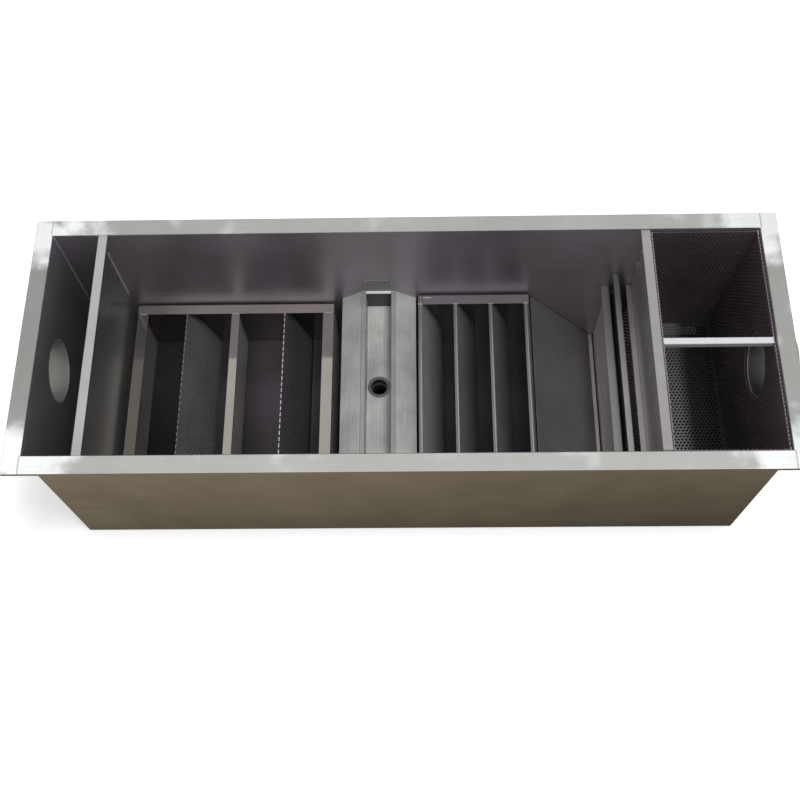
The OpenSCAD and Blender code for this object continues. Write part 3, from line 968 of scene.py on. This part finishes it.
class TRAP_OT_filter_box(bpy.types.Operator):
    """Build the filter box's perforated plates and give its frame its steel"""

    bl_idname = "trap.filter_box"
    bl_label = "Filter box"

    def execute(self, context):
        look = context.scene.trap
        dress(RAILS, "rail_steel", look.frame_colour, RAIL_GRAIN)
        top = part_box("filter_rail_mid")[0].z
        sides = ["filter_side_rear", "filter_side_front"]
        # Painted shade: the side flanges are darker below the rails' underside.
        tone = scaled(look.frame_colour, TONE["filter_side"])
        dress(sides, "side_steel", tone, SIDE_GRAIN, above(top, factor=2.6))
        # Painted highlight on the plates' top cut edges.
        marks = [above(top - PLATE_CUT, PLATE_CUT_PAINTED_HIGHLIGHT * look.cut_painted_highlight)]
        steel = brushed("sieve_steel", look.sieve_colour, marks=marks, **SIEVE_GRAIN)
        # Painted shade: the fourth plate is darker, with its own painted highlight on its cut edge.
        marks = [above(top - PLATE_CUT, SHADE_PAINTED_CUT_HIGHLIGHT * look.cut_painted_highlight)]
        tone = scaled(look.sieve_colour, TONE["shade_painted_plate"])
        shade_painted = brushed("shade_painted_sieve_steel", tone, marks=marks, **SIEVE_GRAIN)
        group = perforation_tree()
        for number in range(1, 6):
            node = f"filter_plate_{number}"
            low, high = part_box(node)
            lean, tall, middle = leaning(low, high, SHEET)
            axes = axes_of((-math.sin(lean), 0.0, math.cos(lean)), ALONG_Y, middle)
            finish = shade_painted if number == SHADE_PAINTED_PLATE else steel
            perforated_panel(context, group, node, axes, (tall, high.y - low.y, SHEET), finish, "x")
        return {"FINISHED"}


class TRAP_OT_plate_pack(bpy.types.Operator):
    """Give the plate pack its steel"""

    bl_idname = "trap.plate_pack"
    bl_label = "Plate pack"

    def execute(self, context):
        look = context.scene.trap
        for number in range(1, 5):
            node = f"pack_plate_{number}"
            low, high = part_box(node)
            flat = high.z - SHEET
            # Painted light: the faces are lighter than the top folds, the first plate's most; the fold is
            # darker left of its bend, leaving a painted highlight on the bend; painted shade darkens the
            # faces downwards.
            lift = TONE["first_pack_plate" if number == 1 else "pack_plate"]
            top = above(flat, factor=1.0 / lift)
            rim = past(low.x + PACK_FOLD, flat, factor=0.5)
            face = deep(low.z, low.z + PACK_DEPTH, factor=0.5)
            tone = scaled(look.pack_colour, lift)
            dress([node], f"pack_steel_{number}", tone, PACK_GRAIN, top, rim, face)
        tone = scaled(look.pack_colour, TONE["pack_side"])
        dress(["pack_side_rear", "pack_side_front"], "pack_side_steel", tone, SIDE_GRAIN)
        return {"FINISHED"}


class TRAP_OT_basket(bpy.types.Operator):
    """Build the basket's perforated panels and give its handle and ledges their steel"""

    bl_idname = "trap.basket"
    bl_label = "Strainer basket"

    def execute(self, context):
        look = context.scene.trap
        dress(["basket_handle"], "handle_steel", look.handle_colour, HANDLE_GRAIN)
        ledges = ["basket_ledge_rear", "basket_ledge_front"]
        dress(ledges, "ledge_steel", look.baffle_colour, LEDGE_GRAIN)
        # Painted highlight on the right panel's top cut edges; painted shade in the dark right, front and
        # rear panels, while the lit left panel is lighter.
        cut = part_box("basket_left")[1].z - BASKET_CUT
        marks = [above(cut, look.cut_painted_highlight)]
        right = brushed("basket_steel", look.basket_painted_shade, marks=marks, **SIEVE_GRAIN)
        marks = [above(cut, LEFT_CUT_PAINTED_HIGHLIGHT * look.cut_painted_highlight)]
        left = brushed("basket_left_steel", look.sieve_colour, marks=marks, **SIEVE_GRAIN)
        end = brushed("basket_end_steel", look.basket_painted_shade, **SIEVE_GRAIN)
        group = bpy.data.node_groups["perforated_sheet"]
        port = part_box("inlet_pipe")
        axis_z = (port[0].z + port[1].z) / 2
        room = (port[1].z - port[0].z) / 2 + PIPE_CLEARANCE
        for node, finish in (("basket_left", left), ("basket_right", right)):
            low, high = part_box(node)
            middle = (low + high) / 2
            size = high - low
            axes = axes_of(ALONG_Y, ALONG_Z, middle)
            pipe = None
            if node == "basket_right":
                pipe = (Vector((0.0, axis_z - middle.z, 0.0)), room)
            perforated_panel(context, group, node, axes, (size.y, size.z, size.x), finish, "y", pipe)
        for node in ("basket_front", "basket_rear"):
            low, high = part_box(node)
            size = high - low
            axes = axes_of(ALONG_X, ALONG_Z, (low + high) / 2)
            perforated_panel(context, group, node, axes, (size.x, size.z, size.y), end, "y")
        low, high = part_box("basket_floor")
        axes = axes_of(ALONG_X, ALONG_Y, (low + high) / 2)
        # Painted shadow: the basket's floor darkens towards its right end.
        marks = [painted_shadow_rightwards(low.x + PAINTED_SHADOW_START, low.x + PAINTED_SHADOW_END, factor=0.15)]
        tone = scaled(look.sieve_colour, TONE["basket_floor"])
        steel = brushed("basket_floor_steel", tone, marks=marks, **SIEVE_GRAIN)
        perforated_panel(context, group, "basket_floor", axes, high - low, steel)
        return {"FINISHED"}


def chain(points, closed=False):
    """One weld path: its points and whether it runs round."""
    return [Vector(p) for p in points], closed


def ring(centre, axis, radius, steps=48):
    """Round weld path about an axis."""
    axis = Vector(axis)
    side = axis.orthogonal().normalized()
    other = axis.cross(side)
    turns = [2 * math.pi * i / steps for i in range(steps)]
    spokes = [math.cos(a) * side + math.sin(a) * other for a in turns]
    return chain([Vector(centre) + radius * spoke for spoke in spokes], True)


def tack(place, along, reach):
    """Short weld along an axis, about its middle."""
    half = Vector(along) * (reach / 2)
    return chain([Vector(place) - half, Vector(place) + half])


def path_mesh(chains):
    """Mesh of bare edges along weld paths."""
    mesh = bpy.data.meshes.new("paths")
    points = []
    edges = []
    for line, closed in chains:
        first = len(points)
        points += line
        edges += [(first + i, first + i + 1) for i in range(len(line) - 1)]
        if closed:
            edges.append((len(points) - 1, first))
    mesh.from_pydata(points, edges, [])
    return mesh


def pipe_welds():
    """Rings round the pipes where they meet the tank."""
    chains = []
    for node, side in (("inlet_pipe", 1), ("outlet_pipe", -1)):
        low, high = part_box(node)
        x = low.x if side > 0 else high.x
        chains.append(ring((x, 0.0, (low.z + high.z) / 2), ALONG_X, (high.z - low.z) / 2))
    low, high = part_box("drain_spigot")
    middle = (low + high) / 2
    chains.append(ring((middle.x, low.y, middle.z), ALONG_Y, (high.z - low.z) / 2))
    return chains


def tank_welds():
    """Seams down the tank's four inner corners."""
    chains = []
    rise = Vector((0.0, 0.0, RIM_Z - 2 * CORNER_MARGIN))
    for x in (-INSIDE_X, INSIDE_X):
        for y in (-INSIDE_Y, INSIDE_Y):
            sunk_x = x - math.copysign(WELD_SINK, x)
            foot = Vector((sunk_x, y - math.copysign(WELD_SINK, y), CORNER_MARGIN))
            chains.append(chain([foot, foot + rise]))
    return chains


def baffle_welds():
    """Beads beside the outlet baffle, and tacks down the other plates' joints with the long walls."""
    chains = []
    for side in (-1, 1):
        wall = side * (INSIDE_Y - WELD_SINK)
        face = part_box("outlet_baffle")[0].x + SHEET
        chains.append(chain([(face, wall, height) for height in OUTLET_BEAD]))
        for node, first, step, count, reach in TACK_ROWS:
            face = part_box(node)[1].x - SHEET
            chains += [tack((face, wall, first + step * i), ALONG_Z, reach) for i in range(count)]
    return chains


def frame_welds():
    """Tacks where the rails and the pack's plates meet their side flanges, and on the handle."""
    chains = []
    for node in RAILS:
        low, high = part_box(node)
        for y in (low.y, high.y):
            chains.append(tack(((low.x + high.x) / 2, y, high.z - WELD_SINK), ALONG_X, LONG_TACK))
    side_low, side_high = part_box("pack_side_rear")
    for number in range(1, 5):
        low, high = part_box(f"pack_plate_{number}")
        for side in (-1, 1):
            place = (low.x + PACK_FOLD, side * (side_low.y + FLANGE_LAP), high.z - WELD_SINK)
            chains.append(tack(place, ALONG_X, SHORT_TACK))
    place = (side_low.x + FLANGE_TACK, side_high.y - FLANGE_TACK / 2, side_high.z - WELD_SINK)
    chains.append(tack(place, ALONG_X, FLANGE_TACK))
    low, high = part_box("basket_handle")
    for x in (low.x, high.x):
        chains.append(tack((x, (low.y + high.y) / 2, high.z - WELD_SINK), ALONG_Y, LONG_TACK))
    return chains


def trough_welds():
    """Tacks that hold the brackets and the ridges to the long walls."""
    chains = []
    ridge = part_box("oil_trough")[1].z
    for node, side in (("trough_bracket_rear", 1), ("trough_bracket_front", -1)):
        low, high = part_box(node)
        wall = side * (INSIDE_Y - WELD_SINK)
        for x, out in ((low.x, -1), (high.x, 1)):
            chains.append(tack((x, wall - side * SHEET, high.z - BRACKET_DROP), ALONG_Z, LONG_TACK))
            chains.append(tack((x + out * RIDGE_STEP, wall, ridge), ALONG_X, SHORT_TACK))
    return chains


class TRAP_OT_welds(bpy.types.Operator):
    """Lay the seams and tacks of the tank, the pipes and everything welded into them"""

    bl_idname = "trap.welds"
    bl_label = "Welds"

    def execute(self, context):
        look = context.scene.trap
        steel = brushed("weld_steel", look.weld_colour, **WELD_GRAIN)
        group = weld_tree()
        groups = (
            ("pipe_welds", "pipe", pipe_welds(), 1.0),
            ("tank_welds", "tank_sheet", tank_welds(), 0.6),
            ("baffle_welds", "baffle_sheet", baffle_welds(), 0.8),
            ("frame_welds", "frame_sheet", frame_welds(), 0.7),
            ("trough_welds", "trough_sheet", trough_welds(), 0.6),
        )
        for name, slot, chains, size in groups:
            values = {
                "Radius": look.bead_size * size,
                "Step": look.bead_step,
                "Seed": WELD_SEED,
                "Material": steel,
            }
            mesh = grown(group, values, path_mesh(chains))
            mesh.name = name
            add_piece(name, mesh, steel)
        return {"FINISHED"}


class TRAP_OT_stage(bpy.types.Operator):
    """Set up the floor, the light and the camera"""

    bl_idname = "trap.stage"
    bl_label = "Stage"

    def execute(self, context):
        make_floor(context)
        make_light(context)
        make_camera(context)
        context.scene.view_settings.view_transform = "Standard"
        return {"FINISHED"}


def seen(tree):
    """1 for what the camera sees, directly or in metal and glass."""
    ray = tree.node("ShaderNodeLightPath", None, None, "Is Camera Ray")
    return ray.either(ray.out("Is Glossy Ray")).either(ray.out("Is Transmission Ray"))


def make_floor(context):
    """Plain white floor that keeps the object's shadow."""
    material = bpy.data.materials.new("floor_white")
    tree = bare_tree(material)
    white = tree.node("ShaderNodeBsdfDiffuse", None, {"Color": FLOOR_WHITE})
    glow = tree.node("ShaderNodeEmission", None, {"Strength": seen(tree) * FLOOR_GLOW})
    both = tree.node("ShaderNodeAddShader", None, {0: white, 1: glow})
    tree.node("ShaderNodeOutputMaterial", None, {"Surface": both})
    mesh = bpy.data.meshes.new("floor")
    signs = ((-1, -1), (1, -1), (1, 1), (-1, 1))
    mesh.from_pydata([(x * FLOOR_REACH, y * FLOOR_REACH, 0.0) for x, y in signs], [], [(0, 1, 2, 3)])
    mesh.materials.append(material)
    floor = bpy.data.objects.new("floor", mesh)
    floor.location.z = -FLOOR_DROP
    context.scene.collection.objects.link(floor)


def make_light(context):
    """White surroundings and one soft lamp overhead in front."""
    world = bpy.data.worlds.new("studio")
    context.scene.world = world
    tree = bare_tree(world)
    level = SKY_LIGHT + seen(tree) * SKY_SEEN
    sky = tree.node("ShaderNodeBackground", None, {"Color": (1.0, 1.0, 1.0, 1.0), "Strength": level})
    tree.node("ShaderNodeOutputWorld", None, {"Surface": sky})
    lamp = bpy.data.lights.new("key", "AREA")
    lamp.size = LAMP_SIZE
    lamp.energy = LAMP_POWER
    key = bpy.data.objects.new("key", lamp)
    key.location = LAMP_PLACE
    key.visible_glossy = False
    aim = Vector(LAMP_AIM) - key.location
    key.rotation_euler = aim.to_track_quat("-Z", "Y").to_euler()
    context.scene.collection.objects.link(key)


def make_camera(context):
    """Camera at the photograph's place: high in front, a little turned and rolled."""
    pitch = math.radians(CAMERA_PITCH)
    yaw = math.radians(CAMERA_YAW)
    roll = math.radians(CAMERA_ROLL)
    ahead = Vector((math.sin(yaw) * math.cos(pitch), math.cos(yaw) * math.cos(pitch), -math.sin(pitch)))
    level = Vector((math.cos(yaw), -math.sin(yaw), 0.0))
    down = ahead.cross(level)
    right = math.cos(roll) * level + math.sin(roll) * down
    up = math.sin(roll) * level - math.cos(roll) * down
    lens = bpy.data.cameras.new("camera")
    lens.sensor_width = SENSOR
    lens.lens = LENS
    lens.clip_start = NEAR_CLIP
    camera = bpy.data.objects.new("camera", lens)
    turn = Matrix((right, up, -ahead)).transposed().to_4x4()
    camera.matrix_world = Matrix.Translation(CAMERA_PLACE) @ turn
    context.scene.collection.objects.link(camera)
    context.scene.camera = camera


class TRAP_PT_panel(bpy.types.Panel):
    """Lists the steps that dress the grease trap"""

    bl_idname = "TRAP_PT_panel"
    bl_label = "Grease trap"
    bl_space_type = "VIEW_3D"
    bl_region_type = "UI"
    bl_category = "Grease trap"

    def draw(self, context):
        for step in STEPS:
            self.layout.operator(step.bl_idname)
        for name in TrapSettings.__annotations__:
            self.layout.prop(context.scene.trap, name)


STEPS = (
    TRAP_OT_stage,
    TRAP_OT_tank,
    TRAP_OT_baffles,
    TRAP_OT_trough,
    TRAP_OT_filter_box,
    TRAP_OT_plate_pack,
    TRAP_OT_basket,
    TRAP_OT_welds,
)
CLASSES = (TrapSettings, *STEPS, TRAP_PT_panel)


def register():
    """Makes the settings, the steps and the panel known to Blender."""
    for cls in CLASSES:
        bpy.utils.register_class(cls)
    bpy.types.Scene.trap = PointerProperty(type=TrapSettings)


def unregister():
    """Takes them away again."""
    del bpy.types.Scene.trap
    for cls in reversed(CLASSES):
        bpy.utils.unregister_class(cls)


def main():
    """Dresses the trap step by step."""
    register()
    for step in STEPS:
        group, name = step.bl_idname.split(".")
        getattr(getattr(bpy.ops, group), name)()


if __name__ == "__main__":
    main()
